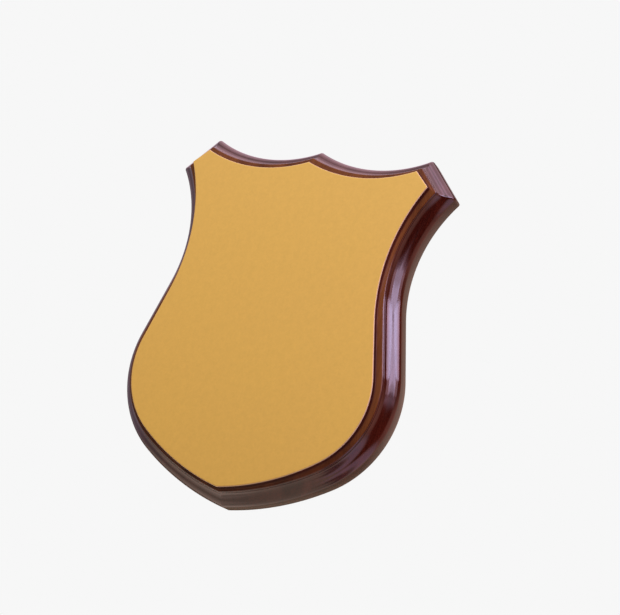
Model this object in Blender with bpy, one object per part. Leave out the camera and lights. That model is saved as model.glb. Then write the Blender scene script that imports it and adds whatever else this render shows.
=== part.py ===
"""Award shield plaque: a moulded hardwood shield with a thin metal plate on its raised panel.

Units are metres. +Z is up, +X is to the right as the front is seen, and the front looks
towards -Y. The flat back lies in the plane y = 0 with the origin at its middle, where the
plaque rests against a wall.
"""
import math
from dataclasses import dataclass

import bmesh
import bpy
from mathutils import Vector

MM = 0.001

# Overall sizes
TOTAL_DEPTH = 26.5 * MM
ORIGIN_ABOVE_TIP = 128.5 * MM

# Metal plate and the thin bed of adhesive under it
PLATE_THICKNESS = 0.8 * MM
ADHESIVE_GAP = 0.3 * MM

# Step round the raised panel that carries the plate
PANEL_STEP_DEPTH = 3.8 * MM
PANEL_STEP_DRAFT = 0.4 * MM

# Edge moulding: insets are measured in from the outer edge, depths back from the plate's face.
# The slope is that of the surface where the hollow cove turns into the round nose.
CROWN_INSET = 9.3 * MM
CROWN_DEPTH = 4.6 * MM
CROWN_RADIUS = 1.4 * MM
OGEE_SLOPE = 21.0
NOSE_RADIUS = 6.2 * MM
BACK_CHAMFER = 0.8 * MM

# Keyhole slot in the back, for the head of a 4 mm screw
KEYHOLE_ENTRY_Z = 56.5 * MM
KEYHOLE_TRAVEL = 15.0 * MM
ENTRY_RADIUS = 4.9 * MM
ENTRY_DEPTH = 10.8 * MM
POCKET_RADIUS = 4.75 * MM
POCKET_DEPTH = 10.5 * MM
NECK_RADIUS = 2.5 * MM
LIP_THICKNESS = 4.5 * MM
CUTTER_OVERRUN = 2.0 * MM
KEYHOLE_ARC_STEPS = 12

# Samples along the stretches of half an outline, and across the moulding
TOP_STEPS = 8
EAR_STEPS = 2
WAIST_STEPS = 9
FLANK_STEPS = 2
BELLY_STEPS = 12
TIP_STEPS = 8
CROWN_STEPS = 3
COVE_STEPS = 6
NOSE_STEPS = 6

SHARP_ANGLE = math.radians(30)


@dataclass(frozen=True)
class ShieldOutline:
    """Half a shield: x is measured from the centre line and z from the wooden tip.

    From the peak a hollow arc runs to the ear's top, a straight cut to the ear's side, then a
    hollow waist, a straight flank, a full belly and a flatter arc that meets the tip.
    """

    peak_z: float
    ear_top: tuple
    top_sag: float
    ear_side: tuple
    waist_heading: float
    waist_radius: float
    waist_sweep: float
    flank_length: float
    belly_radius: float
    belly_sweep: float
    tip_z: float


WOOD_OUTLINE = ShieldOutline(
    peak_z=255.0 * MM,
    ear_top=(83.0 * MM, 256.9 * MM),
    top_sag=9.8 * MM,
    ear_side=(105.6 * MM, 231.5 * MM),
    waist_heading=math.radians(-126.6),
    waist_radius=100.4 * MM,
    waist_sweep=math.radians(51.2),
    flank_length=41.5 * MM,
    belly_radius=72.3 * MM,
    belly_sweep=math.radians(71.6),
    tip_z=0.0,
)

PANEL_OUTLINE = ShieldOutline(
    peak_z=241.1 * MM,
    ear_top=(80.0 * MM, 242.5 * MM),
    top_sag=8.4 * MM,
    ear_side=(90.5 * MM, 232.1 * MM),
    waist_heading=math.radians(-118.1),
    waist_radius=135.0 * MM,
    waist_sweep=math.radians(42.2),
    flank_length=36.6 * MM,
    belly_radius=58.1 * MM,
    belly_sweep=math.radians(68.2),
    tip_z=10.6 * MM,
)


def clear_scene():
    """Remove every object, so that the model starts from an empty scene."""
    for obj in list(bpy.data.objects):
        bpy.data.objects.remove(obj, do_unlink=True)


def direction(heading):
    """Unit vector that points along a heading, counted from +X towards +Z."""
    return Vector((math.cos(heading), math.sin(heading)))


def right_of(vector):
    """The vector turned a quarter turn to the right, which is inwards on these outlines."""
    return Vector((vector.y, -vector.x))


def arc(centre, start, end, steps):
    """Points of the shorter arc from start to end, without its end."""
    radius = (start - centre).length
    first = math.atan2(start.y - centre.y, start.x - centre.x)
    last = math.atan2(end.y - centre.y, end.x - centre.x)
    sweep = (last - first + math.pi) % (2 * math.pi) - math.pi
    return [centre + radius * direction(first + sweep * i / steps) for i in range(steps)]


def straight(start, end, steps):
    """Points of the line from start to end, without its end."""
    return [start.lerp(end, i / steps) for i in range(steps)]


def circle_meets_line(centre, radius, point, along, near):
    """The crossing of a circle and a line that lies nearer to a given point."""
    offset = point - centre
    half = offset.dot(along)
    root = math.sqrt(half * half - offset.length_squared + radius * radius)
    crossings = [point + along * (-half + sign * root) for sign in (-1, 1)]
    return min(crossings, key=lambda crossing: (crossing - near).length)


def circle_meets_centre_line(centre, radius):
    """The lower crossing of a circle and the shield's centre line."""
    return Vector((0.0, centre.y - math.sqrt(radius * radius - centre.x * centre.x)))


def half_outline(shape, inset):
    """Right half of an outline, moved in by an even inset with its corners mitred."""
    peak = Vector((0.0, shape.peak_z))
    ear_top = Vector(shape.ear_top)
    ear_side = Vector(shape.ear_side)
    tip = Vector((0.0, shape.tip_z))

    # The hollow top has its centre outside, so an inset makes its radius larger
    chord = ear_top - peak
    top_radius = (chord.length_squared / 4 + shape.top_sag ** 2) / (2 * shape.top_sag)
    outwards = -right_of(chord.normalized())
    top_centre = peak.lerp(ear_top, 0.5) + outwards * (top_radius - shape.top_sag)
    start = circle_meets_centre_line(top_centre, top_radius + inset)

    # The ear's straight cut
    along = (ear_side - ear_top).normalized()
    cut = ear_top + right_of(along) * inset
    first_corner = circle_meets_line(top_centre, top_radius + inset, cut, along, ear_top)

    # The hollow waist, again with its centre outside
    heading = shape.waist_heading
    waist_centre = ear_side - right_of(direction(heading)) * shape.waist_radius
    waist_inset_radius = shape.waist_radius + inset
    second_corner = circle_meets_line(waist_centre, waist_inset_radius, cut, along, ear_side)
    heading += shape.waist_sweep
    waist_end = waist_centre + right_of(direction(heading)) * waist_inset_radius

    # The straight flank and the full belly, whose centre is inside
    flank_end = waist_end + direction(heading) * shape.flank_length
    belly_centre = flank_end + right_of(direction(heading)) * (shape.belly_radius - inset)
    heading -= shape.belly_sweep
    inwards = right_of(direction(heading))
    belly_end = belly_centre - inwards * (shape.belly_radius - inset)

    # The last arc carries on from the belly without a kink and meets the tip
    outer_end = belly_centre - inwards * shape.belly_radius
    reach = tip - outer_end
    tip_radius = reach.length_squared / (2 * reach.dot(inwards))
    tip_centre = outer_end + inwards * tip_radius
    end = circle_meets_centre_line(tip_centre, tip_radius - inset)

    points = arc(top_centre, start, first_corner, TOP_STEPS)
    points += straight(first_corner, second_corner, EAR_STEPS)
    points += arc(waist_centre, second_corner, waist_end, WAIST_STEPS)
    points += straight(waist_end, flank_end, FLANK_STEPS)
    points += arc(belly_centre, flank_end, belly_end, BELLY_STEPS)
    points += arc(tip_centre, belly_end, end, TIP_STEPS)
    points.append(end)
    return points


def ring(shape, inset, depth):
    """A whole outline as points in space, at a depth behind the plate's face."""
    right = half_outline(shape, inset)
    left = [Vector((-point.x, point.y)) for point in reversed(right[1:-1])]
    y = depth - TOTAL_DEPTH
    return [Vector((point.x, y, point.y - ORIGIN_ABOVE_TIP)) for point in right + left]


def section_arc(inset, depth, radius, first, last, steps):
    """Insets and depths along an arc, by angles in degrees counted from the inward side."""
    angles = [math.radians(first + (last - first) * i / steps) for i in range(steps + 1)]
    return [(inset + radius * math.cos(a), depth + radius * math.sin(a)) for a in angles]


def moulding_section():
    """Insets and depths of the edge moulding, from the crown of its ridge to the back.

    The cove and the nose touch at the ogee's slope, so their radii together fill the width
    between the ridge and the outer edge.
    """
    cove_top = CROWN_DEPTH + CROWN_RADIUS
    ogee_width = CROWN_INSET - CROWN_RADIUS
    slope = math.radians(OGEE_SLOPE)
    both_radii = ogee_width / (1 - math.sin(slope))
    cove_radius = both_radii - NOSE_RADIUS
    nose_depth = cove_top + both_radii * math.cos(slope)
    crown = section_arc(CROWN_INSET, cove_top, CROWN_RADIUS, -90, -180, CROWN_STEPS)
    cove = section_arc(ogee_width - cove_radius, cove_top, cove_radius, 0, 90 - OGEE_SLOPE,
                       COVE_STEPS)
    nose = section_arc(NOSE_RADIUS, nose_depth, NOSE_RADIUS, -90 - OGEE_SLOPE, -180, NOSE_STEPS)
    back = [(0.0, TOTAL_DEPTH - BACK_CHAMFER), (BACK_CHAMFER, TOTAL_DEPTH)]
    return crown + cove[1:] + nose[1:] + back


def loft(name, rings):
    """A closed solid through a stack of rings, with a flat face at each end."""
    mesh = bpy.data.meshes.new(name)
    bm = bmesh.new()
    loops = [[bm.verts.new(point) for point in points] for points in rings]
    for front, rear in zip(loops, loops[1:]):
        count = len(front)
        for i in range(count):
            j = (i + 1) % count
            bm.faces.new((front[i], front[j], rear[j], rear[i]))
    bm.faces.new(loops[0])
    bm.faces.new(loops[-1])
    bmesh.ops.recalc_face_normals(bm, faces=bm.faces)
    bm.to_mesh(mesh)
    bm.free()
    mesh.shade_smooth()
    mesh.set_sharp_from_angle(angle=SHARP_ANGLE)
    obj = bpy.data.objects.new(name, mesh)
    bpy.context.collection.objects.link(obj)
    return obj


def add_material(obj, name, colour, roughness, metallic):
    """Give an object its own Principled material."""
    material = bpy.data.materials.new(name)
    material.use_nodes = True
    shader = material.node_tree.nodes["Principled BSDF"]
    shader.inputs["Base Color"].default_value = (*colour, 1.0)
    shader.inputs["Roughness"].default_value = roughness
    shader.inputs["Metallic"].default_value = metallic
    obj.data.materials.append(material)


def slot_ring(radius, low_z, high_z, y):
    """An upright slot with round ends, or a circle where both ends share a centre."""
    points = []
    for centre_z, first in ((high_z, 0.0), (low_z, math.pi)):
        for i in range(KEYHOLE_ARC_STEPS + 1):
            angle = first + math.pi * i / KEYHOLE_ARC_STEPS
            x = radius * math.cos(angle)
            points.append(Vector((x, y, centre_z + radius * math.sin(angle))))
    if high_z == low_z:
        del points[KEYHOLE_ARC_STEPS + 1]
        points.pop()
    return points


def cut_slot(body, name, radius, high_z, from_y, to_y):
    """Rout a slot in the body, from the keyhole's entry up to a height."""
    rings = [slot_ring(radius, KEYHOLE_ENTRY_Z, high_z, y) for y in (from_y, to_y)]
    cutter = loft(name, rings)
    cutter.hide_render = True
    cutter.display_type = 'WIRE'
    cut = body.modifiers.new(name, 'BOOLEAN')
    cut.operation = 'DIFFERENCE'
    cut.solver = 'EXACT'
    cut.object = cutter


def build_wood_shield():
    """The moulded shield in one piece, with its panel, edge moulding and keyhole slot."""
    panel_depth = PLATE_THICKNESS + ADHESIVE_GAP
    rings = [
        ring(PANEL_OUTLINE, 0.0, panel_depth),
        ring(PANEL_OUTLINE, -PANEL_STEP_DRAFT, PANEL_STEP_DEPTH),
    ]
    rings += [ring(WOOD_OUTLINE, inset, depth) for inset, depth in moulding_section()]
    shield = loft("wood_shield", rings)
    add_material(shield, "lacquered_mahogany", (0.070, 0.022, 0.016), 0.25, 0.0)

    slot_top = KEYHOLE_ENTRY_Z + KEYHOLE_TRAVEL
    cut_slot(shield, "pocket_cutter", POCKET_RADIUS, slot_top, -LIP_THICKNESS, -POCKET_DEPTH)
    cut_slot(shield, "entry_cutter", ENTRY_RADIUS, KEYHOLE_ENTRY_Z, CUTTER_OVERRUN, -ENTRY_DEPTH)
    neck_floor = -(LIP_THICKNESS + POCKET_DEPTH) / 2
    cut_slot(shield, "neck_cutter", NECK_RADIUS, slot_top, CUTTER_OVERRUN, neck_floor)


def build_face_plate():
    """The thin metal plate, cut to the panel's outline."""
    plate = loft("face_plate", [
        ring(PANEL_OUTLINE, 0.0, 0.0),
        ring(PANEL_OUTLINE, 0.0, PLATE_THICKNESS),
    ])
    add_material(plate, "satin_gold_metal", (0.66, 0.40, 0.13), 0.42, 1.0)


def main():
    clear_scene()
    build_wood_shield()
    build_face_plate()


main()
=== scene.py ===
"""Award shield plaque, dressed for show: the moulded wooden shield, its metal plate and a studio.

Lengths are metres, +Z is up and the front looks towards -Y. Outlines are seen from the front:
x is counted from the centre line and z from the wooden tip.
"""
import math

import bmesh
import bpy
from bpy.props import FloatProperty, FloatVectorProperty, PointerProperty
from mathutils import Matrix, Quaternion, Vector


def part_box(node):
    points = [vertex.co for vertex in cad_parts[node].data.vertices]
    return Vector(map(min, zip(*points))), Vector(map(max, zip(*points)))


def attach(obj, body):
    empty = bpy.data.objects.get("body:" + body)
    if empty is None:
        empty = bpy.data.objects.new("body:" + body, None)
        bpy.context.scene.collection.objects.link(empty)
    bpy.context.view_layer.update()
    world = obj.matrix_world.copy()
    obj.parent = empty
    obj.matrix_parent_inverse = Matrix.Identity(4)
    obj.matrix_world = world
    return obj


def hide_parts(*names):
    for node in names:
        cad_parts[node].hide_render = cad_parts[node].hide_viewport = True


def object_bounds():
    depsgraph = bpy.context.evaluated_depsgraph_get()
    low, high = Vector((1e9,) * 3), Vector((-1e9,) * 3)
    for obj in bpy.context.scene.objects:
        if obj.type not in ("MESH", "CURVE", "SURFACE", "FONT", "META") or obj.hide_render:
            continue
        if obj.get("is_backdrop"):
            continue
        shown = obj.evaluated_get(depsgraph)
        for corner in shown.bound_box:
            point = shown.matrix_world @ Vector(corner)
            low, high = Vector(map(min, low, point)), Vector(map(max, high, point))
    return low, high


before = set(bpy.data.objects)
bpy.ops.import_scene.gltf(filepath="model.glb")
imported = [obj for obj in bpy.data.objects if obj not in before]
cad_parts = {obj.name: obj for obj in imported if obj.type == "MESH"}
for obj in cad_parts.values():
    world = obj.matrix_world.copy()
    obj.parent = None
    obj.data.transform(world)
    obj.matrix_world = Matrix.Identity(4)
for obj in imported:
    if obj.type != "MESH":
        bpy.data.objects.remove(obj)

bl_info = {
    "name": "Award Shield Plaque",
    "version": (1, 0, 0),
    "blender": (4, 5, 0),
    "location": "3D View > Sidebar > Plaque",
    "description": "Builds a moulded wooden award shield with a satin metal plate",
    "category": "Add Mesh",
}

MM = 0.001
IMAGE_WIDTH = 620
SENSOR_WIDTH = 36.0

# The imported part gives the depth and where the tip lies
CAD_LOW, CAD_HIGH = (Vector(corner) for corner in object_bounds())
TOTAL_DEPTH = CAD_HIGH.y - CAD_LOW.y
TIP_Z = CAD_LOW.z
PLATE_LOW, PLATE_HIGH = (Vector(corner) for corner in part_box("face_plate"))
PLATE_THICKNESS = PLATE_HIGH.y - PLATE_LOW.y


def length(name, description, millimetres):
    """A property for a size or a place on the plaque."""
    return FloatProperty(
        name=name, description=description, default=millimetres * MM,
        unit='LENGTH', subtype='DISTANCE', precision=5,
    )


def angle(name, description, degrees):
    """A property for a direction or a swept angle."""
    return FloatProperty(
        name=name, description=description, default=math.radians(degrees),
        unit='ROTATION', subtype='ANGLE',
    )


def colour(name, description, value):
    """A property for a linear colour."""
    return FloatVectorProperty(
        name=name, description=description, default=value, size=3,
        subtype='COLOR', min=0.0, max=1.0,
    )


def number(name, description, value):
    """A property for a plain number."""
    return FloatProperty(name=name, description=description, default=value)


# Both outlines' sizes: kind, field, name, description, the shield's value and the panel's
OUTLINE_SIZES = (
    (length, "peak_z", "Peak", "Height of the middle peak above the wooden tip", 255.0, 241.1),
    (length, "ear_top_x", "Ear Top X", "Upper corner of the ear, from the centre line", 83.0, 80.0),
    (length, "ear_top_z", "Ear Top Z", "Upper corner of the ear, above the wooden tip",
     256.9, 242.5),
    (length, "top_sag", "Top Sag", "How far the hollow top dips between peak and ear", 9.8, 8.4),
    (length, "ear_side_x", "Ear Side X", "Outer corner of the ear, from the centre line",
     105.6, 90.5),
    (length, "ear_side_z", "Ear Side Z", "Outer corner of the ear, above the wooden tip",
     231.5, 232.1),
    (angle, "waist_heading", "Waist Heading", "Direction in which the waist leaves the ear",
     -126.6, -118.1),
    (length, "waist_radius", "Waist Radius", "Radius of the hollow waist", 100.4, 135.0),
    (angle, "waist_sweep", "Waist Sweep", "Angle through which the waist turns", 51.2, 42.2),
    (length, "flank_length", "Flank Length", "Length of the straight flank", 41.5, 36.6),
    (length, "belly_radius", "Belly Radius", "Radius of the full belly", 72.3, 58.1),
    (angle, "belly_sweep", "Belly Sweep", "Angle through which the belly turns", 71.6, 68.2),
    (length, "tip_z", "Tip", "Height of this outline's tip above the wooden tip", 0.0, 10.6),
)
SHIELD_COLUMN, PANEL_COLUMN = 4, 5


def outline_properties(column):
    """An outline's properties, with their defaults from one column of the table."""
    return {row[1]: row[0](row[2], row[3], row[column]) for row in OUTLINE_SIZES}


class WoodOutline(bpy.types.PropertyGroup):
    """The shield's outer edge."""

    __annotations__ = outline_properties(SHIELD_COLUMN)


class PanelOutline(bpy.types.PropertyGroup):
    """The edge of the raised panel and of the metal plate on it."""

    __annotations__ = outline_properties(PANEL_COLUMN)


class MouldingSizes(bpy.types.PropertyGroup):
    """Insets from the outer edge and depths behind the plate's face."""

    corner_round: length("Corner Round", "Rounding of the outer edge's corners", 1.5)
    crown_corner_round: length("Crown Corner Round", "Rounding of the ridge's corners", 0.8)
    panel_corner_round: length("Panel Corner Round", "Rounding of the panel's corners", 0.5)
    panel_depth: length("Panel Depth", "Depth of the panel's top under the plate", 1.1)
    panel_edge_round: length("Panel Edge Round", "Rounding of the panel's top edge", 0.25)
    step_depth: length("Step Depth", "Depth of the foot of the step round the panel", 3.8)
    step_draft: length("Step Draft", "How far the step's foot stands outside its top", 0.3)
    step_foot_round: length("Step Foot Round", "Hollow round at the foot of the step", 0.5)
    crown_inset: length("Crown Inset", "Inset of the ridge's crown", 9.3)
    crown_depth: length("Crown Depth", "Depth of the ridge's crown", 4.6)
    crown_radius: length("Crown Radius", "Rounding of the ridge", 1.4)
    ogee_slope: angle("Ogee Slope", "Slope where the cove turns into the nose", 21.0)
    nose_radius: length("Nose Radius", "Rounding of the outer nose", 6.2)
    back_round: length("Back Round", "Eased edge round the back", 0.8)


class KeyholeSizes(bpy.types.PropertyGroup):
    """The routed slot in the back."""

    entry_z: length("Entry Height", "Height of the entry hole's centre", 56.5)
    travel: length("Travel", "How far the screw slides up", 15.0)
    entry_radius: length("Entry Radius", "Radius of the entry hole", 4.9)
    entry_depth: length("Entry Depth", "Depth of the entry hole", 10.8)
    pocket_radius: length("Pocket Radius", "Half the width of the undercut pocket", 4.75)
    pocket_depth: length("Pocket Depth", "Depth of the undercut pocket", 10.5)
    neck_radius: length("Neck Radius", "Half the width of the neck", 2.5)
    lip_thickness: length("Lip Thickness", "Wood left behind the screw's head", 4.5)


class PlateSizes(bpy.types.PropertyGroup):
    """The metal plate."""

    edge_round: length("Edge Round", "Rounding of the plate's front edge", 0.45)
    burr_round: length("Back Edge Round", "Rounding of the plate's back edge", 0.06)


class Finishes(bpy.types.PropertyGroup):
    """Colours and surface qualities."""

    stain_dark: colour("Dark Stain", "Moulding's colour in the dense grain", (0.016, 0.0022, 0.0014))
    stain_light: colour("Light Stain", "Moulding's colour between the grain", (0.055, 0.0085, 0.0040))
    shelf_dark: colour("Dark Shelf", "Thin stain on the shelf, dense grain", (0.082, 0.023, 0.004))
    shelf_light: colour("Light Shelf", "Thin stain on the shelf", (0.170, 0.058, 0.010))
    raw_dark: colour("Raw Wood Dark", "Dense grain of the bare routed wood", (0.24, 0.10, 0.055))
    raw_light: colour("Raw Wood Light", "Bare routed wood", (0.42, 0.22, 0.13))
    stain_thin_front: length("Thin Stain Front", "Depth where the stain starts to be thin", 3.85)
    stain_thin_back: length("Thin Stain Back", "Depth where the stain is full again", 5.1)
    wood_roughness: number("Wood Roughness", "Roughness of the filled grain", 0.16)
    lacquer_weight: number("Lacquer Weight", "Strength of the clear lacquer", 1.0)
    lacquer_roughness: number("Lacquer Roughness", "Roughness of the clear lacquer", 0.10)
    gold: colour("Gold", "Colour of the metal", (0.79, 0.515, 0.166))
    gold_roughness: number("Gold Roughness", "Roughness of the satin metal", 0.38)
    cut_metal: colour("Cut Metal", "Bare metal of the plate's cut edge", (0.72, 0.60, 0.42))
    figure_scale: number("Figure Scale", "Grain figures in a metre across the board", 70.0)
    fibre_scale: number("Fibre Scale", "Fibres in a metre across the board", 900.0)


class StudioSettings(bpy.types.PropertyGroup):
    """Camera, floor and lights."""

    view_azimuth: angle("View Azimuth", "Camera's angle to the right of the front", 27.16)
    view_elevation: angle("View Elevation", "Camera's angle above the aim point", -13.28)
    view_roll: angle("View Roll", "How far the shield leans clockwise in the picture", 15.54)
    view_distance: length("View Distance", "From the camera to the aim point", 943.4)
    aim_x: length("Aim X", "Aim point to the right of the centre line", 31.0)
    aim_z: length("Aim Z", "Aim point above the origin", 10.5)
    focal_pixels: number("Focal Length", "In pixels of the 620 pixel wide picture", 1431.0)
    floor_drop: length("Floor Drop", "Height of the origin above the floor", 420.0)
    floor_radius: length("Floor Radius", "Radius of the round floor", 520.0)
    light_distance: length("Light Distance", "From the plaque to the soft boxes", 1350.0)
    backdrop: colour("Backdrop", "What the camera sees behind the plaque", (0.93, 0.93, 0.93))
    room: colour("Room", "Light that reaches the plaque from everywhere", (0.06, 0.03, 0.01))


class PlaqueSettings(bpy.types.PropertyGroup):
    """Every setting of the plaque."""

    wood: PointerProperty(type=WoodOutline)
    panel: PointerProperty(type=PanelOutline)
    moulding: PointerProperty(type=MouldingSizes)
    keyhole: PointerProperty(type=KeyholeSizes)
    plate: PointerProperty(type=PlateSizes)
    finishes: PointerProperty(type=Finishes)
    studio: PointerProperty(type=StudioSettings)


# Outlines

# Samples along each stretch of half an outline: top, ear, waist, flank, belly, last arc
STRETCH_STEPS = (40, 14, 44, 18, 52, 38)
CORNER_STEPS = 4


def heading_vector(heading):
    """Unit vector along a heading, counted from +X towards +Z."""
    return Vector((math.cos(heading), math.sin(heading)))


def right_of(vector):
    """The vector turned a quarter turn to the right, which is inwards on these outlines."""
    return Vector((vector.y, -vector.x))


def arc_points(centre, start, end, steps):
    """Points of the shorter arc from start to end, without its end."""
    radius = (start - centre).length
    first = math.atan2(start.y - centre.y, start.x - centre.x)
    last = math.atan2(end.y - centre.y, end.x - centre.x)
    sweep = (last - first + math.pi) % (2 * math.pi) - math.pi
    return [centre + radius * heading_vector(first + sweep * i / steps) for i in range(steps)]


def line_points(start, end, steps):
    """Points of the line from start to end, without its end."""
    return [start.lerp(end, i / steps) for i in range(steps)]


def circle_meets_line(centre, radius, point, along, near):
    """The crossing of a circle and a line that lies nearer to a given point."""
    offset = point - centre
    half = offset.dot(along)
    root = math.sqrt(half * half - offset.length_squared + radius * radius)
    crossings = [point + along * (-half + sign * root) for sign in (-1, 1)]
    return min(crossings, key=lambda crossing: (crossing - near).length)


def circle_meets_centre_line(centre, radius):
    """The lower crossing of a circle and the shield's centre line."""
    return Vector((0.0, centre.y - math.sqrt(radius * radius - centre.x * centre.x)))


def half_outline(shape, inset):
    """The right half of an outline at an even inset, and the indices of its corners."""
    peak = Vector((0.0, shape.peak_z))
    ear_top = Vector((shape.ear_top_x, shape.ear_top_z))
    ear_side = Vector((shape.ear_side_x, shape.ear_side_z))
    tip = Vector((0.0, shape.tip_z))

    # The hollow top has its centre outside, so an inset makes its radius larger
    chord = ear_top - peak
    top_radius = (chord.length_squared / 4 + shape.top_sag ** 2) / (2 * shape.top_sag)
    outwards = -right_of(chord.normalized())
    top_centre = peak.lerp(ear_top, 0.5) + outwards * (top_radius - shape.top_sag)
    start = circle_meets_centre_line(top_centre, top_radius + inset)

    # The ear's straight cut, then the hollow waist with its centre outside
    along = (ear_side - ear_top).normalized()
    cut = ear_top + right_of(along) * inset
    first_corner = circle_meets_line(top_centre, top_radius + inset, cut, along, ear_top)
    heading = shape.waist_heading
    waist_centre = ear_side - right_of(heading_vector(heading)) * shape.waist_radius
    waist_radius = shape.waist_radius + inset
    second_corner = circle_meets_line(waist_centre, waist_radius, cut, along, ear_side)
    heading += shape.waist_sweep
    waist_end = waist_centre + right_of(heading_vector(heading)) * waist_radius

    # The straight flank and the full belly, whose centre is inside
    flank_end = waist_end + heading_vector(heading) * shape.flank_length
    inwards = right_of(heading_vector(heading))
    belly_centre = flank_end + inwards * (shape.belly_radius - inset)
    inwards = right_of(heading_vector(heading - shape.belly_sweep))
    belly_end = belly_centre - inwards * (shape.belly_radius - inset)

    # The last arc carries on from the belly without a kink and meets the tip
    outer_end = belly_centre - inwards * shape.belly_radius
    reach = tip - outer_end
    tip_radius = reach.length_squared / (2 * reach.dot(inwards))
    tip_centre = outer_end + inwards * tip_radius
    end = circle_meets_centre_line(tip_centre, tip_radius - inset)

    top, ear, waist, flank, belly, last = STRETCH_STEPS
    points = arc_points(top_centre, start, first_corner, top)
    points += line_points(first_corner, second_corner, ear)
    points += arc_points(waist_centre, second_corner, waist_end, waist)
    points += line_points(waist_end, flank_end, flank)
    points += arc_points(belly_centre, flank_end, belly_end, belly)
    points += arc_points(tip_centre, belly_end, end, last)
    points.append(end)
    return points, (0, top, top + ear, len(points) - 1)


def eased_corner(before, corner, after, radius):
    """A corner replaced by a small arc that touches both sides."""
    arriving = (corner - before).normalized()
    leaving = (after - corner).normalized()
    turn = arriving.angle_signed(leaving)
    reach = radius * math.tan(abs(turn) / 2)
    start = corner - arriving * reach
    side = 1 if right_of(arriving).dot(leaving) > 0 else -1
    centre = start + right_of(arriving) * (side * radius)
    end = corner + leaving * reach
    return arc_points(centre, start, end, CORNER_STEPS) + [end]


def outline_ring(shape, inset, corner_round):
    """A whole outline at an even inset, as points seen from the front."""
    right, corners = half_outline(shape, inset)
    left = [Vector((-point.x, point.y)) for point in reversed(right[1:-1])]
    loop = right + left
    count = len(loop)
    mirrored = {(count - corner) % count for corner in corners}
    sharp = set(corners) | mirrored
    points = []
    for i, point in enumerate(loop):
        if i in sharp:
            points += eased_corner(loop[i - 1], point, loop[(i + 1) % count], corner_round)
        else:
            points.append(point)
    return points


def in_space(point, depth):
    """A point of an outline at a depth behind the plate's face."""
    return Vector((point.x, CAD_LOW.y + depth, point.y + TIP_Z))


# Meshes

# Edges that turn by more than this stay sharp
SHARP_ANGLE = math.radians(30)


def loft(name, rings):
    """A closed mesh through a stack of rings, with a flat face at each end."""
    mesh = bpy.data.meshes.new(name)
    bm = bmesh.new()
    loops = [[bm.verts.new(point) for point in points] for points in rings]
    for front, rear in zip(loops, loops[1:]):
        count = len(front)
        for i in range(count):
            j = (i + 1) % count
            bm.faces.new((front[i], front[j], rear[j], rear[i]))
    bm.faces.new(loops[0])
    bm.faces.new(loops[-1])
    bmesh.ops.recalc_face_normals(bm, faces=bm.faces)
    bm.to_mesh(mesh)
    bm.free()
    return mesh


def place(name, mesh):
    """A new object at the origin."""
    obj = bpy.data.objects.new(name, mesh)
    bpy.context.scene.collection.objects.link(obj)
    return obj


def evaluated_mesh(obj):
    """The object's mesh with its modifiers applied, which are then removed."""
    depsgraph = bpy.context.evaluated_depsgraph_get()
    mesh = bpy.data.meshes.new_from_object(obj.evaluated_get(depsgraph))
    obj.modifiers.clear()
    return mesh


def shade(mesh):
    """Smooth shading that keeps the sharper edges."""
    mesh.shade_smooth()
    mesh.set_sharp_from_angle(angle=SHARP_ANGLE)


# Node trees

NODE_SPACING = 180
BLACK = (0.0, 0.0, 0.0, 1.0)

# A group socket's type follows from its default: a number, a colour, or none for a mesh
SOCKET_TYPES = {
    float: 'NodeSocketFloat', tuple: 'NodeSocketColor', type(None): 'NodeSocketGeometry',
}


class Graph:
    """Adds nodes to a tree and joins them."""

    def __init__(self, tree):
        self.tree = tree

    def feed(self, node, inputs):
        """Link or set a node's inputs by name or number."""
        for key, value in dict(inputs).items():
            if isinstance(value, bpy.types.NodeSocket):
                self.tree.links.new(value, node.inputs[key])
            else:
                node.inputs[key].default_value = value

    def add(self, kind, inputs=(), **settings):
        """A node with its settings and inputs."""
        node = self.tree.nodes.new(kind)
        node.location.x = NODE_SPACING * len(self.tree.nodes)
        for key, value in settings.items():
            setattr(node, key, value)
        self.feed(node, inputs)
        return node

    def maths(self, operation, *values):
        """The result of a sum on numbers or sockets."""
        return self.add('ShaderNodeMath', enumerate(values), operation=operation).outputs[0]

    def vector(self, *values):
        """A vector made of numbers or sockets."""
        return self.add('ShaderNodeCombineXYZ', enumerate(values)).outputs[0]

    def split(self, vector):
        """The three numbers of a vector."""
        return self.add('ShaderNodeSeparateXYZ', {0: vector}).outputs

    def coordinates(self, kind="Object"):
        """Where a point of the surface lies."""
        return self.add('ShaderNodeTexCoord').outputs[kind]


def new_group(name, inputs, outputs, kind='ShaderNodeTree'):
    """The graph of a new node group with named sockets, and what the group is given."""
    tree = bpy.data.node_groups.new(name, kind)
    for direction, sockets in (('INPUT', inputs), ('OUTPUT', outputs)):
        for label, default in sockets.items():
            socket = tree.interface.new_socket(
                label, in_out=direction, socket_type=SOCKET_TYPES[type(default)])
            if default is not None:
                socket.default_value = default
    graph = Graph(tree)
    return graph, graph.add('NodeGroupInput').outputs


# The sizes of the moulding that its tree is given, by their names
MOULDING_INPUTS = (
    "Back Round", "Nose Radius", "Ogee Slope", "Crown Radius", "Crown Depth", "Crown Inset",
    "Step Foot Round", "Step Depth", "Step Draft", "Panel Edge Round", "Panel Depth",
)

QUARTER_TURN = math.pi / 2

# A point of the section stands on the outer outline at layer zero, on the panel's at this one
PANEL_LAYER = 1.0

# Points on the arcs of the section, the flat border that keeps the big faces flat, and how near
# to each other points are merged
BACK_POINTS = 5
NOSE_POINTS = 18
COVE_POINTS = 20
CROWN_POINTS = 11
FOOT_POINTS = 5
EDGE_POINTS = 5
FLAT_BORDER = 0.6 * MM
MERGE_DISTANCE = 0.001 * MM


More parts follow.
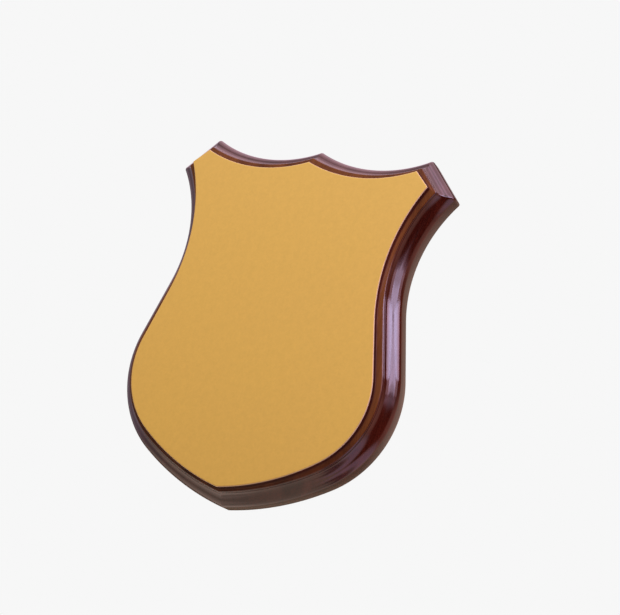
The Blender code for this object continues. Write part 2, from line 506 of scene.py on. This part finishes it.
def section_arc(graph, points, centre_x, centre_y, radius, start, sweep, layer=0.0):
    """Points of an arc: x is the inset, y the depth and z the outline that it stands on."""
    arc = graph.add('GeometryNodeCurveArc', {
        "Resolution": points, "Radius": radius, "Start Angle": start, "Sweep Angle": sweep,
    }, mode='RADIUS')
    placed = graph.add('GeometryNodeTransform', {
        "Geometry": arc.outputs[0], "Translation": graph.vector(centre_x, centre_y, layer),
    })
    return graph.add('GeometryNodeCurveToMesh', {"Curve": placed.outputs[0]}).outputs[0]


def section_mesh(graph, sizes):
    """The moulding's section, from the back round the nose, cove and crown to the panel."""
    back, nose, crown = sizes["Back Round"], sizes["Nose Radius"], sizes["Crown Radius"]
    foot, edge = sizes["Step Foot Round"], sizes["Panel Edge Round"]
    back_y = graph.maths('SUBTRACT', sizes["Total Depth"], back)
    crown_y = graph.maths('ADD', sizes["Crown Depth"], crown)

    # Cove and nose are two arcs that meet at the ogee's slope, and their radii fill its width
    ogee_width = graph.maths('SUBTRACT', sizes["Crown Inset"], crown)
    slope_sine = graph.maths('SINE', sizes["Ogee Slope"])
    slope_cosine = graph.maths('COSINE', sizes["Ogee Slope"])
    both_radii = graph.maths('DIVIDE', ogee_width, graph.maths('SUBTRACT', 1.0, slope_sine))
    cove = graph.maths('SUBTRACT', both_radii, nose)
    cove_x = graph.maths('SUBTRACT', ogee_width, cove)
    nose_y = graph.maths('MULTIPLY_ADD', both_radii, slope_cosine, crown_y)
    turn = graph.maths('SUBTRACT', QUARTER_TURN, sizes["Ogee Slope"])
    turn_back = graph.maths('MULTIPLY', turn, -1.0)

    draft = graph.maths('ADD', sizes["Step Draft"], foot)
    foot_x = graph.maths('MULTIPLY', draft, -1.0)
    foot_y = graph.maths('SUBTRACT', sizes["Step Depth"], foot)
    edge_y = graph.maths('ADD', sizes["Panel Depth"], edge)
    arcs = [
        section_arc(graph, BACK_POINTS, back, back_y, back, QUARTER_TURN, QUARTER_TURN),
        section_arc(graph, NOSE_POINTS, nose, nose_y, nose, math.pi, turn),
        section_arc(graph, COVE_POINTS, cove_x, crown_y, cove, turn, turn_back),
        section_arc(graph, CROWN_POINTS, sizes["Crown Inset"], crown_y, crown,
                    math.pi, QUARTER_TURN),
        section_arc(graph, FOOT_POINTS, foot_x, foot_y, foot, QUARTER_TURN, -QUARTER_TURN,
                    PANEL_LAYER),
        section_arc(graph, EDGE_POINTS, edge, edge_y, edge, math.pi, QUARTER_TURN, PANEL_LAYER),
    ]
    border_x = graph.maths('ADD', edge, FLAT_BORDER)
    last = graph.add('GeometryNodeMeshLine', {
        "Count": 1, "Start Location": graph.vector(border_x, sizes["Panel Depth"], PANEL_LAYER),
    })
    join = graph.add('GeometryNodeJoinGeometry')
    for part in reversed(arcs + [last.outputs[0]]):
        graph.tree.links.new(part, join.inputs[0])
    return join.outputs[0]


def ring_position(graph, section_point, total_depth):
    """Where an outline's point goes for one point of the section."""
    inset, depth, layer = graph.split(section_point)
    outer, mitre, to_panel = (
        graph.add('GeometryNodeInputNamedAttribute', {"Name": name},
                  data_type='FLOAT_VECTOR').outputs["Attribute"]
        for name in ("outer", "mitre", "to_panel"))
    moved = outer
    for way, share in ((mitre, inset), (to_panel, layer)):
        moved = graph.add('ShaderNodeVectorMath', {0: way, 1: share, 2: moved},
                          operation='MULTIPLY_ADD').outputs[0]
    behind = graph.vector(0.0, graph.maths('SUBTRACT', depth, total_depth))
    return graph.add('ShaderNodeVectorMath', {0: moved, 1: behind}, operation='ADD').outputs[0]


def moulding_tree(material):
    """Geometry nodes that draw a shield outline forward through the moulding's section."""
    graph, sizes = new_group(
        "Shield moulding",
        {"Geometry": None, "Total Depth": 0.0, **dict.fromkeys(MOULDING_INPUTS, 0.0)},
        {"Geometry": None}, 'GeometryNodeTree')
    links, total_depth = graph.tree.links, sizes["Total Depth"]

    # The outline's face starts flat on the back, just inside the eased edge
    border_x = graph.maths('ADD', sizes["Back Round"], FLAT_BORDER)
    start = graph.add('GeometryNodeSetPosition', {
        "Geometry": sizes["Geometry"],
        "Position": ring_position(graph, graph.vector(border_x, total_depth), total_depth),
    })
    marked = graph.add('GeometryNodeStoreNamedAttribute', {
        "Geometry": start.outputs[0], "Name": "front", "Value": True,
    }, data_type='BOOLEAN', domain='FACE')

    # Each turn pushes the front face out to the next point of the section
    section = section_mesh(graph, sizes)
    size = graph.add('GeometryNodeAttributeDomainSize', {0: section}, component='MESH')
    repeat_in = graph.add('GeometryNodeRepeatInput')
    repeat_out = graph.add('GeometryNodeRepeatOutput')
    repeat_in.pair_with_output(repeat_out)
    graph.feed(repeat_in, {
        "Iterations": size.outputs["Point Count"], "Geometry": marked.outputs[0],
    })
    front = graph.add('GeometryNodeInputNamedAttribute', {"Name": "front"}, data_type='BOOLEAN')
    extrude = graph.add('GeometryNodeExtrudeMesh', {
        "Mesh": repeat_in.outputs["Geometry"], "Selection": front.outputs["Attribute"],
        "Offset Scale": 0.0, "Individual": False,
    }, mode='FACES')
    position = graph.add('GeometryNodeInputPosition')
    point = graph.add('GeometryNodeSampleIndex', {
        "Geometry": section, "Value": position.outputs[0], "Index": repeat_in.outputs["Iteration"],
    }, data_type='FLOAT_VECTOR', domain='POINT')
    moved = graph.add('GeometryNodeSetPosition', {
        "Geometry": extrude.outputs["Mesh"], "Selection": extrude.outputs["Top"],
        "Position": ring_position(graph, point.outputs[0], total_depth),
    })
    kept = graph.add('GeometryNodeStoreNamedAttribute', {
        "Geometry": moved.outputs[0], "Name": "front", "Value": extrude.outputs["Top"],
    }, data_type='BOOLEAN', domain='FACE')
    graph.feed(repeat_out, {"Geometry": kept.outputs[0]})

    # The back closes with the face that the run started from
    back = graph.add('GeometryNodeFlipFaces', {0: start.outputs[0]})
    whole = graph.add('GeometryNodeJoinGeometry')
    links.new(back.outputs[0], whole.inputs[0])
    links.new(repeat_out.outputs["Geometry"], whole.inputs[0])
    last = graph.add('GeometryNodeMergeByDistance', {
        "Geometry": whole.outputs[0], "Distance": MERGE_DISTANCE,
    }).outputs[0]
    for name in ("outer", "mitre", "to_panel", "front"):
        last = graph.add('GeometryNodeRemoveAttribute', {"Geometry": last, "Name": name}).outputs[0]
    real = graph.add('GeometryNodeRealizeInstances', {0: last})
    painted = graph.add('GeometryNodeSetMaterial', {
        "Geometry": real.outputs[0], "Material": material,
    })
    graph.add('NodeGroupOutput', {"Geometry": painted.outputs[0]})
    return graph.tree


def set_modifier_inputs(modifier, values):
    """Set a geometry nodes modifier's inputs by their sockets' identifiers."""
    for item in modifier.node_group.interface.items_tree:
        if item.item_type == 'SOCKET' and item.in_out == 'INPUT' and item.name in values:
            modifier[item.identifier] = values[item.name]


# Surface effects that the finishes share

# Grain is drawn out along the board: how much its figure and fibres shrink, the figure's share
# of the tone, and the tones that count as dense and as light grain
FIGURE_STRETCH = 0.07
FIBRE_STRETCH = 0.018
FIGURE_SHARE = 0.7
DENSE_GRAIN, LIGHT_GRAIN = 0.36, 0.64

# Bends of a depth band's edges in a metre
DRIFT_SCALE = 60.0

# The mix node's colour sockets
FIRST_COLOUR, SECOND_COLOUR, MIXED_COLOUR = 6, 7, 2


def mix_colours(graph, factor, first, second):
    """A mix of two colours, each a socket or a plain colour."""
    first, second = (
        value if isinstance(value, bpy.types.NodeSocket) else (*value, 1.0)
        for value in (first, second))
    return graph.add('ShaderNodeMix', {
        "Factor": factor, FIRST_COLOUR: first, SECOND_COLOUR: second,
    }, data_type='RGBA').outputs[MIXED_COLOUR]


def noise(graph, scale, detail, stretch=1.0, roughness=0.5, distortion=0.0):
    """Noise on the piece's own coordinates, drawn out upwards where the stretch is small."""
    vector = graph.coordinates()
    if stretch != 1.0:
        vector = graph.add('ShaderNodeMapping', {
            "Vector": vector, "Scale": (1.0, 1.0, stretch),
        }).outputs[0]
    return graph.add('ShaderNodeTexNoise', {
        "Vector": vector, "Scale": scale, "Detail": detail, "Roughness": roughness,
        "Distortion": distortion,
    }).outputs["Fac"]


def grain_group():
    """Wood grain that runs up the board: a colour and a fine height."""
    graph, given = new_group("Wood grain", {
        "Dark": BLACK, "Light": BLACK, "Figure Scale": 70.0, "Fibre Scale": 900.0,
    }, {"Color": BLACK, "Figure": 0.0, "Height": 0.0})
    figure = noise(graph, given["Figure Scale"], 6.0, FIGURE_STRETCH, 0.55, 0.8)
    fibre = noise(graph, given["Fibre Scale"], 3.0, FIBRE_STRETCH, 0.6)
    fine = graph.maths('MULTIPLY', fibre, 1.0 - FIGURE_SHARE)
    spread = graph.add('ShaderNodeMapRange', {
        "Value": graph.maths('MULTIPLY_ADD', figure, FIGURE_SHARE, fine),
        "From Min": DENSE_GRAIN, "From Max": LIGHT_GRAIN,
    }).outputs[0]
    graph.add('NodeGroupOutput', {
        "Color": mix_colours(graph, spread, given["Dark"], given["Light"]),
        "Figure": spread, "Height": fibre,
    })
    return graph.tree


def mottle_group():
    """A slow and a fine unevenness: a value about a middle one, and a height."""
    graph, given = new_group("Mottle", {
        "Middle": 0.5, "Spread": 0.05, "Slow Scale": 25.0, "Fine Scale": 1200.0,
    }, {"Value": 0.0, "Height": 0.0})
    slow, fine = (noise(graph, given[scale], 2.0) for scale in ("Slow Scale", "Fine Scale"))
    swing = graph.maths('SUBTRACT', graph.maths('ADD', slow, fine), 1.0)
    graph.add('NodeGroupOutput', {
        "Value": graph.maths('MULTIPLY_ADD', swing, given["Spread"], given["Middle"]),
        "Height": fine,
    })
    return graph.tree


def soft_step(graph, value, middle, border, start, end):
    """A smooth change from start to end, as a value crosses a border on each side of a middle."""
    return graph.add('ShaderNodeMapRange', {
        "Value": value, "From Min": graph.maths('SUBTRACT', middle, border),
        "From Max": graph.maths('ADD', middle, border), "To Min": start, "To Max": end,
    }, interpolation_type='SMOOTHSTEP').outputs[0]


def band_group():
    """A soft-edged band between two depths behind the plate's face, as a mask."""
    graph, given = new_group("Depth band", {"Front": 0.0, "Back": 0.01, "Blend": 0.0004},
                             {"Mask": 0.0})
    y = graph.split(graph.coordinates())["Y"]
    drift = noise(graph, DRIFT_SCALE, 2.0)
    uneven = graph.maths('MULTIPLY_ADD', drift, given["Blend"], y)
    masks = [soft_step(graph, uneven, given[edge], given["Blend"], start, 1.0 - start)
             for edge, start in (("Front", 0.0), ("Back", 1.0))]
    graph.add('NodeGroupOutput', {"Mask": graph.maths('MULTIPLY', *masks)})
    return graph.tree


def use_effect(graph, name, maker, inputs):
    """A shared effect with its own values, built the first time it is asked for."""
    tree = bpy.data.node_groups.get(name) or maker()
    return graph.add('ShaderNodeGroup', inputs, node_tree=tree).outputs


def grain(graph, dark, light, finishes):
    """The wood grain in two colours."""
    return use_effect(graph, "Wood grain", grain_group, {
        "Dark": (*dark, 1.0), "Light": (*light, 1.0),
        "Figure Scale": finishes.figure_scale, "Fibre Scale": finishes.fibre_scale,
    })


def mottle(graph, middle, spread, slow_scale=25.0, fine_scale=1200.0):
    """The mottle about a middle value."""
    return use_effect(graph, "Mottle", mottle_group, {
        "Middle": middle, "Spread": spread, "Slow Scale": slow_scale, "Fine Scale": fine_scale,
    })


def new_material(name):
    """A material with a Principled shader, and the graph to build it with."""
    material = bpy.data.materials.new(name)
    material.use_nodes = True
    return material, Graph(material.node_tree), material.node_tree.nodes["Principled BSDF"]


# Relief of the finishes
BUMP_STRENGTH = 0.5
LACQUER_RELIEF = 0.02 * MM
BARE_WOOD_RELIEF = 0.1 * MM
SATIN_RELIEF = 0.015 * MM

# The lacquer carries the gloss. It is thin and dull on the step and the shelf, and sinks a
# little into dense grain
LACQUER_IOR = 1.65
STAIN_SPECULAR = 0.1
SHELF_COAT = 0.08
SHELF_ROUGHER = 0.35
GRAIN_IN_COAT = 0.12
STAIN_BLEND = 0.3 * MM

# Painted shade: low on the shield the shelf's thin, lighter colour is darkened to stand in for the
# shadow
# that the step casts there: how much of it is left at the bottom, and the heights above the tip
# between which it comes back
SHELF_TONE_LEFT_IN_SHADE = 0.3
PAINTED_SHADE_BOTTOM = 35 * MM
PAINTED_SHADE_TOP = 75 * MM

# How far the metal's tone swings, and how dark its cut edge gets
GOLD_SWING = 0.06
CUT_DARKEST = 0.9


def fine_bump(graph, height, distance):
    """Normals with a fine relief."""
    return graph.add('ShaderNodeBump', {
        "Height": height, "Strength": BUMP_STRENGTH, "Distance": distance,
    }).outputs[0]


def lacquered_wood(finishes):
    """Dark red-brown stained wood under clear gloss lacquer, rubbed thin on the shelf, with painted
    shade darkening the shelf low on the shield.
    """
    material, graph, shader = new_material("stained_lacquered_wood")
    moulding = grain(graph, finishes.stain_dark, finishes.stain_light, finishes)
    shelf = grain(graph, finishes.shelf_dark, finishes.shelf_light, finishes)
    thin, dull = (
        use_effect(graph, "Depth band", band_group, {
            "Front": front - TOTAL_DEPTH, "Back": finishes.stain_thin_back - TOTAL_DEPTH,
            "Blend": STAIN_BLEND,
        })["Mask"] for front in (finishes.stain_thin_front, -PLATE_THICKNESS))
    # Painted shade: the shelf's lighter colour fades out towards the bottom of the shield, standing
    # in for the step's shadow
    painted_shade_low = graph.add('ShaderNodeMapRange', {
        "Value": graph.split(graph.coordinates())["Z"], "From Min": TIP_Z + PAINTED_SHADE_BOTTOM,
        "From Max": TIP_Z + PAINTED_SHADE_TOP, "To Min": SHELF_TONE_LEFT_IN_SHADE,
    }, interpolation_type='SMOOTHSTEP').outputs[0]
    # From here the thin-stain mask also carries the painted shade low on the shield
    thin = graph.maths('MULTIPLY', thin, painted_shade_low)
    uneven = mottle(graph, finishes.wood_roughness, 0.06, 40.0, 330.0)
    worn = graph.maths('MULTIPLY_ADD', dull, SHELF_COAT - 1, 1)
    sunk = graph.maths('MULTIPLY_ADD', moulding["Figure"], GRAIN_IN_COAT, 1 - GRAIN_IN_COAT)
    coat = graph.maths('MULTIPLY', worn, sunk)
    height = graph.maths('ADD', moulding["Height"], uneven["Height"])
    graph.feed(shader, {
        "Base Color": mix_colours(graph, thin, moulding["Color"], shelf["Color"]),
        "Roughness": graph.maths('MULTIPLY_ADD', dull, SHELF_ROUGHER, uneven["Value"]),
        "Coat Weight": graph.maths('MULTIPLY', coat, finishes.lacquer_weight),
        "Normal": fine_bump(graph, height, LACQUER_RELIEF),
        "Specular IOR Level": STAIN_SPECULAR, "Coat IOR": LACQUER_IOR,
        "Coat Roughness": finishes.lacquer_roughness,
    })
    return material


def bare_wood(finishes):
    """The routed wood inside the keyhole, without stain or lacquer."""
    material, graph, shader = new_material("bare_routed_wood")
    raw = grain(graph, finishes.raw_dark, finishes.raw_light, finishes)
    graph.feed(shader, {
        "Base Color": raw["Color"], "Roughness": mottle(graph, 0.75, 0.10)["Value"],
        "Normal": fine_bump(graph, raw["Height"], BARE_WOOD_RELIEF),
    })
    return material


def satin_gold(finishes):
    """Fine satin gold-coloured metal."""
    material, graph, shader = new_material("fine_satin_gold")
    satin = mottle(graph, finishes.gold_roughness, 0.06)
    tone = mottle(graph, 0.5, 0.75, 230.0, 650.0)
    darker, lighter = (
        [min(1.0, channel * (1.0 + swing)) for channel in finishes.gold]
        for swing in (-GOLD_SWING, GOLD_SWING))
    graph.feed(shader, {
        "Base Color": mix_colours(graph, tone["Value"], darker, lighter),
        "Roughness": satin["Value"], "Metallic": 1.0,
        "Normal": fine_bump(graph, satin["Height"], SATIN_RELIEF),
    })
    return material


def cut_metal(finishes):
    """The pale bare metal where the plate was cut."""
    material, graph, shader = new_material("pale_cut_metal")
    cut = mottle(graph, 0.85, 0.10, fine_scale=700.0)
    darker = [channel * CUT_DARKEST for channel in finishes.cut_metal]
    graph.feed(shader, {
        "Base Color": mix_colours(graph, cut["Height"], darker, finishes.cut_metal),
        "Roughness": cut["Value"], "Metallic": 1.0,
    })
    return material


# The wooden shield

KEYHOLE_ARC_STEPS = 24
CUTTER_OVERRUN = 2.0 * MM
SURFACE_SLACK = 0.02 * MM


def outline_face(settings):
    """A flat face on the outer outline, which knows the way inwards and the way to the panel."""
    sizes = settings.moulding
    reach = sizes.crown_inset
    outer, inner, panel = (
        [in_space(point, 0.0) for point in outline_ring(shape, inset, corner_round)]
        for shape, inset, corner_round in (
            (settings.wood, 0.0, sizes.corner_round),
            (settings.wood, reach, sizes.crown_corner_round),
            (settings.panel, 0.0, sizes.panel_corner_round),
        ))
    mesh = bpy.data.meshes.new("shield_outline")
    bm = bmesh.new()
    face = bm.faces.new([bm.verts.new((point.x, 0.0, point.z)) for point in outer])
    face.normal_update()
    if face.normal.y > 0:
        face.normal_flip()
    bm.to_mesh(mesh)
    bm.free()
    vectors = {
        "outer": [Vector((point.x, 0.0, point.z)) for point in outer],
        "mitre": [(end - start) / reach for start, end in zip(outer, inner)],
        "to_panel": [end - start for start, end in zip(outer, panel)],
    }
    for name, values in vectors.items():
        layer = mesh.attributes.new(name, 'FLOAT_VECTOR', 'POINT')
        layer.data.foreach_set("vector", [part for value in values for part in value])
    return mesh


def slot_ring(radius, low_z, high_z, y):
    """An upright slot with round ends, or a circle where both ends share a centre."""
    points = []
    for centre_z, first in ((high_z, 0.0), (low_z, math.pi)):
        for i in range(KEYHOLE_ARC_STEPS + 1):
            turn = first + math.pi * i / KEYHOLE_ARC_STEPS
            x = radius * math.cos(turn)
            points.append(Vector((x, y, centre_z + radius * math.sin(turn))))
    if high_z == low_z:
        del points[KEYHOLE_ARC_STEPS + 1]
        points.pop()
    return points


def cut_slot(body, name, radius, low_z, high_z, from_y, to_y):
    """Rout a slot in the body between two depths."""
    cutter = place(name, loft(name, [slot_ring(radius, low_z, high_z, y) for y in (from_y, to_y)]))
    cut = body.modifiers.new(name, 'BOOLEAN')
    cut.operation = 'DIFFERENCE'
    cut.solver = 'EXACT'
    cut.object = cutter
    return cutter


def cut_keyhole(body, sizes):
    """Rout the entry, the neck and the undercut pocket, and take the cutters away."""
    low, high = sizes.entry_z, sizes.entry_z + sizes.travel
    neck_floor = -(sizes.lip_thickness + sizes.pocket_depth) / 2
    cutters = [
        cut_slot(body, "pocket", sizes.pocket_radius, low, high,
                 -sizes.lip_thickness, -sizes.pocket_depth),
        cut_slot(body, "entry", sizes.entry_radius, low, low, CUTTER_OVERRUN, -sizes.entry_depth),
        cut_slot(body, "neck", sizes.neck_radius, low, high, CUTTER_OVERRUN, neck_floor),
    ]
    mesh = evaluated_mesh(body)
    for cutter in cutters:
        bpy.data.objects.remove(cutter, do_unlink=True)
    body.data = mesh


def paint_keyhole(mesh, sizes, slot):
    """Give the routed faces inside the keyhole their own material slot."""
    middle = Vector((0.0, 0.0, sizes.entry_z + sizes.travel / 2))
    reach = sizes.travel / 2 + 2 * sizes.entry_radius
    deepest = -sizes.entry_depth - SURFACE_SLACK
    for face in mesh.polygons:
        inside = deepest < face.center.y < -SURFACE_SLACK
        if inside and (face.center - middle).length < reach:
            face.material_index = slot


class PLAQUE_OT_wood_shield(bpy.types.Operator):
    """Build the moulded wooden shield with its keyhole slot"""

    bl_idname = "plaque.wood_shield"
    bl_label = "Wooden Shield"

    def execute(self, context):
        settings = context.scene.plaque
        lacquer = lacquered_wood(settings.finishes)
        shield = place("moulded_wood_shield", outline_face(settings))
        modifier = shield.modifiers.new("Shield moulding", 'NODES')
        modifier.node_group = moulding_tree(lacquer)
        values = {name: getattr(settings.moulding, name.lower().replace(" ", "_"))
                  for name in MOULDING_INPUTS}
        set_modifier_inputs(modifier, {"Total Depth": TOTAL_DEPTH, **values})
        shield.data = evaluated_mesh(shield)
        if len(shield.data.polygons) < len(shield.data.vertices) / 2:
            raise RuntimeError("the moulding didn't form round the outline")
        cut_keyhole(shield, settings.keyhole)
        shield.data.materials.clear()
        shield.data.materials.append(lacquer)
        shield.data.materials.append(bare_wood(settings.finishes))
        paint_keyhole(shield.data, settings.keyhole, 1)
        shade(shield.data)
        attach(shield, "root")
        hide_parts("wood_shield")
        return {'FINISHED'}


# The metal plate

# Faces turned further from the front than this are the cut edge
CUT_EDGE_FACING = 0.9

# Directions on the edge's section in degrees, and the steps of its two roundings
TO_FRONT, TO_BACK, OUTWARDS = -90, 90, 180
FRONT_STEPS = 4
BURR_STEPS = 2


def rounded_edge(inset, depth, radius, first, last, steps):
    """Inset and depth along part of a small circle."""
    angles = [math.radians(first + (last - first) * i / steps) for i in range(steps + 1)]
    return [(inset + radius * math.cos(a), depth + radius * math.sin(a)) for a in angles]


def plate_section(sizes):
    """Insets and depths from the plate's face round its edge to its back."""
    front, burr = sizes.edge_round, sizes.burr_round
    section = [(front + FLAT_BORDER, 0.0)]
    section += rounded_edge(front, front, front, TO_FRONT, -OUTWARDS, FRONT_STEPS)
    section += rounded_edge(burr, PLATE_THICKNESS - burr, burr, OUTWARDS, TO_BACK, BURR_STEPS)
    section.append((burr + FLAT_BORDER, PLATE_THICKNESS))
    return section


class PLAQUE_OT_face_plate(bpy.types.Operator):
    """Build the satin metal plate"""

    bl_idname = "plaque.face_plate"
    bl_label = "Metal Plate"

    def execute(self, context):
        settings = context.scene.plaque
        rings = []
        for inset, depth in plate_section(settings.plate):
            ring = outline_ring(settings.panel, inset, settings.moulding.panel_corner_round)
            rings.append([in_space(point, depth) for point in ring])
        plate = place("satin_face_plate", loft("satin_face_plate", rings))
        plate.data.materials.append(satin_gold(settings.finishes))
        plate.data.materials.append(cut_metal(settings.finishes))
        for face in plate.data.polygons:
            if abs(face.normal.y) < CUT_EDGE_FACING:
                face.material_index = 1
        shade(plate.data)
        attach(plate, "root")
        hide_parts("face_plate")
        return {'FINISHED'}


# The studio

FLOOR_SIDES = 96
FLOOR_TONES = ((0.48, 0.71, 0.59), (0.53, 0.77, 0.65))
FLOOR_ROUGHNESS = 0.8
CLIP_START = 50 * MM

# Watts for each square metre of an area light that give a radiance of one
AREA_LIGHT_WATTS = 4.0

# Soft boxes: name, azimuth, elevation, width and height in degrees, radiance in red, green, blue
SOFT_BOXES = (
    ("key_middle", 45.5, 32, 30, 12, (5.20, 4.50, 6.90)),
    ("key_right", 68, 32, 15, 12, (4.70, 3.85, 5.90)),
    ("key_far", 83, 32, 15, 12, (3.60, 2.75, 3.90)),
    ("key_end", 98, 32, 15, 12, (2.99, 1.87, 2.56)),
    ("key_lower", 38, 22.5, 45, 7, (3.70, 2.90, 4.30)),
    ("key_lowest", 38, 16.5, 45, 5, (2.20, 1.65, 2.30)),
    ("key_lower_right", 75.5, 20, 30, 12, (1.30, 0.75, 0.90)),
)

# Soft patches that are painted on the room one after another: name, azimuth and elevation of
# the middle, half width, half height and soft border in degrees, radiance in red, green, blue
GLOWS = (
    ("top", 0, 78, 220, 22, 10, (1.70, 1.14, 1.32)),
    ("top_right", 50, 52, 48, 12, 10, (3.90, 2.50, 3.30)),
    ("low", 0, -60, 220, 36, 9, (0.78, 0.60, 0.48)),
    ("low_left", -92, -56, 66, 18, 10, (1.18, 0.88, 0.74)),
    ("left", -85, -3, 28, 20, 12, (0.62, 0.50, 0.62)),
    ("front_left", -26, 12, 34, 16, 12, (0.90, 0.78, 0.50)),
    ("front_high", -20, 38, 42, 12, 10, (1.28, 1.28, 1.28)),
    ("left_high", -110, 35, 48, 16, 12, (1.28, 0.96, 1.14)),
    ("right", 118, -3, 36, 18, 12, (0.68, 0.30, 0.24)),
    ("right_back", 170, 0, 22, 24, 12, (0.53, 0.37, 0.30)),
    ("low_back", 152, -45, 34, 24, 14, (0.65, 0.49, 0.41)),
    ("sheen", 72, -36, 62, 12, 7, (0.94, 0.60, 0.82)),
    ("gap", 88, -58, 58, 9, 8, (0.19, 0.13, 0.16)),
    ("low_left_back", -160, -25, 48, 14, 10, (0.22, 0.15, 0.11)),
    ("dark_front", 45, -8, 34, 12, 8, (0.00, 0.00, 0.00)),
    ("under_key", 48, 12, 36, 2, 5, (1.40, 0.90, 1.20)),
)


def look(azimuth, elevation):
    """Unit vector from the plaque out to an azimuth and an elevation."""
    level = math.cos(elevation)
    return Vector((
        math.sin(azimuth) * level, -math.cos(azimuth) * level, math.sin(elevation)))


def soft_box(name, azimuth, elevation, wide, tall, radiance, distance):
    """A rectangular area light that faces the plaque and spans the given angles."""
    azimuth, elevation = math.radians(azimuth), math.radians(elevation)
    light = bpy.data.lights.new(name, 'AREA')
    light.shape = 'RECTANGLE'
    light.size = 2 * distance * math.cos(elevation) * math.tan(math.radians(wide / 2))
    light.size_y = 2 * distance * math.tan(math.radians(tall / 2))
    brightest = max(radiance)
    light.color = [channel / brightest for channel in radiance]
    light.energy = AREA_LIGHT_WATTS * brightest * light.size * light.size_y
    obj = bpy.data.objects.new(name, light)
    bpy.context.scene.collection.objects.link(obj)
    back = look(azimuth, elevation)
    obj.location = back * distance
    obj.rotation_mode = 'QUATERNION'
    obj.rotation_quaternion = (-back).to_track_quat('-Z', 'Y')
    obj.visible_camera = False


def floor_material():
    """Pale matt paint."""
    material, graph, shader = new_material("pale_floor")
    tone = mottle(graph, 0.8, 0.03, 6.0, 90.0)["Value"]
    graph.feed(shader, {
        "Base Color": mix_colours(graph, tone, *FLOOR_TONES), "Roughness": FLOOR_ROUGHNESS,
    })
    return material


def add_floor(studio):
    """A round pale floor, well below the plaque because the plaque hangs."""
    mesh = bpy.data.meshes.new("floor")
    bm = bmesh.new()
    bmesh.ops.create_circle(
        bm, cap_ends=True, segments=FLOOR_SIDES, radius=studio.floor_radius,
        matrix=Matrix.Translation((0.0, 0.0, -studio.floor_drop)))
    bm.to_mesh(mesh)
    bm.free()
    floor = place("floor", mesh)
    floor.data.materials.append(floor_material())
    floor.visible_glossy = False
    floor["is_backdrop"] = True


GLOW_INPUTS = ("Azimuth", "Elevation", "Half Width", "Half Height", "Border")


def glow_group():
    """A soft patch of the sky, given by azimuth and elevation, as a mask."""
    graph, given = new_group("Glow", dict.fromkeys(GLOW_INPUTS, 0.0), {"Mask": 0.0})
    x, y, z = graph.split(graph.coordinates("Generated"))
    azimuth = graph.maths('ARCTAN2', x, graph.maths('MULTIPLY', y, -1.0))
    aside = graph.maths('SUBTRACT', azimuth, given["Azimuth"])
    above = graph.maths('SUBTRACT', graph.maths('ARCSINE', z), given["Elevation"])
    masks = [
        soft_step(graph, graph.maths('ABSOLUTE', off), given[half], given["Border"], 1.0, 0.0)
        for off, half in ((graph.maths('WRAP', aside, math.pi, -math.pi), "Half Width"),
                          (above, "Half Height"))]
    graph.add('NodeGroupOutput', {"Mask": graph.maths('MULTIPLY', *masks)})
    return graph.tree


def add_world(studio):
    """A pale room with soft glows in its reflections, seen as a plain pale backdrop."""
    world = bpy.data.worlds.new("studio")
    bpy.context.scene.world = world
    world.use_nodes = True
    graph = Graph(world.node_tree)
    room = studio.room
    for _, *angles, radiance in GLOWS:
        glow = use_effect(graph, "Glow", glow_group, {
            name: math.radians(value) for name, value in zip(GLOW_INPUTS, angles)
        })
        room = mix_colours(graph, glow["Mask"], room, radiance)
    seen = graph.add('ShaderNodeLightPath').outputs["Is Camera Ray"]
    graph.feed(world.node_tree.nodes["Background"], {
        "Color": mix_colours(graph, seen, room, studio.backdrop),
    })


def add_camera(studio):
    """The camera at the photograph's viewing angle."""
    data = bpy.data.cameras.new("camera")
    data.sensor_width = SENSOR_WIDTH
    data.lens = studio.focal_pixels / IMAGE_WIDTH * SENSOR_WIDTH
    data.clip_start = CLIP_START
    camera = bpy.data.objects.new("camera", data)
    bpy.context.scene.collection.objects.link(camera)
    aim = Vector((studio.aim_x, CAD_LOW.y, studio.aim_z))
    back = look(studio.view_azimuth, studio.view_elevation)
    level = (-back).to_track_quat('-Z', 'Y')
    camera.location = aim + back * studio.view_distance
    camera.rotation_mode = 'QUATERNION'
    camera.rotation_quaternion = level @ Quaternion((0.0, 0.0, 1.0), studio.view_roll)
    bpy.context.scene.camera = camera


class PLAQUE_OT_studio(bpy.types.Operator):
    """Set up the floor, the lights and the camera"""

    bl_idname = "plaque.studio"
    bl_label = "Studio"

    def execute(self, context):
        studio = context.scene.plaque.studio
        add_floor(studio)
        add_world(studio)
        for box in SOFT_BOXES:
            soft_box(*box, studio.light_distance)
        add_camera(studio)
        context.scene.view_settings.view_transform = 'Standard'
        return {'FINISHED'}


class PLAQUE_PT_tools(bpy.types.Panel):
    """Buttons for the plaque's pieces"""

    bl_label = "Award Shield Plaque"
    bl_idname = "PLAQUE_PT_tools"
    bl_space_type = 'VIEW_3D'
    bl_region_type = 'UI'
    bl_category = "Plaque"

    def draw(self, context):
        for operator in OPERATORS:
            self.layout.operator(operator.bl_idname)


OPERATORS = (PLAQUE_OT_wood_shield, PLAQUE_OT_face_plate, PLAQUE_OT_studio)
CLASSES = (
    WoodOutline,
    PanelOutline,
    MouldingSizes,
    KeyholeSizes,
    PlateSizes,
    Finishes,
    StudioSettings,
    PlaqueSettings,
    *OPERATORS,
    PLAQUE_PT_tools,
)


def register():
    for cls in CLASSES:
        bpy.utils.register_class(cls)
    bpy.types.Scene.plaque = PointerProperty(type=PlaqueSettings)


def unregister():
    del bpy.types.Scene.plaque
    for cls in reversed(CLASSES):
        bpy.utils.unregister_class(cls)


def main():
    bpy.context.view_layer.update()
    register()
    bpy.ops.plaque.wood_shield()
    bpy.ops.plaque.face_plate()
    bpy.ops.plaque.studio()


if __name__ == "__main__":
    main()
